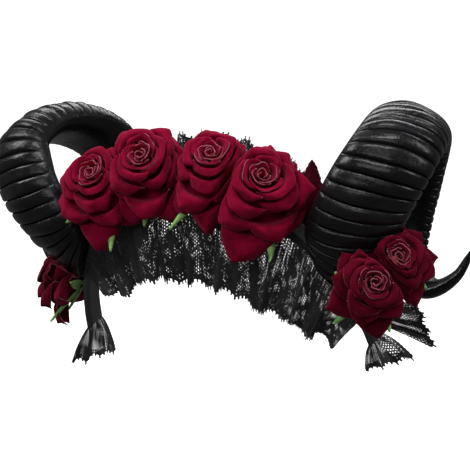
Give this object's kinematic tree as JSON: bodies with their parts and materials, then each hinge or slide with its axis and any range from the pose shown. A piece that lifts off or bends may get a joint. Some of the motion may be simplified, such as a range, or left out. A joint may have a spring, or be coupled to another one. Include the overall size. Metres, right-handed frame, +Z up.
{
  "type": "ram horns headband",
  "caption": "Lace-wrapped hoop headband with two curled ribbed black ram horns, crimson velvet roses and gathered black lace frills.",
  "frame": {"origin": "underside of the hoop's crown, where the headband rests on the top of the head", "axes": "+Z up, -Y towards the front of the head, +X towards the wearer's left ear; the hoop leans forward at its crown"},
  "size_m": [0.2634, 0.1179, 0.1418],
  "materials": {
    "lace": "matte",
    "horn": "satin",
    "velvet": "matte",
    "dark_velvet": "matte",
    "sepal": "matte"
  },
  "bodies": {
    "root": {"band": "lace", "calyx_1": "sepal", "calyx_2": "sepal", "calyx_3": "sepal", "calyx_4": "sepal", "calyx_5": "sepal", "calyx_6": "sepal", "calyx_7": "sepal", "horn_left": "horn", "horn_right": "horn", "lace_end_left": "lace", "lace_end_right": "lace", "lace_tab_right": "lace", "leaf_red": "dark_velvet", "rose_1": "velvet", "rose_2": "velvet", "rose_3": "velvet", "rose_4": "velvet", "rose_5": "velvet", "rose_6": "velvet", "rose_7": "velvet", "ruffle_back": "lace", "ruffle_front": "lace"}
  },
  "joints": []
}
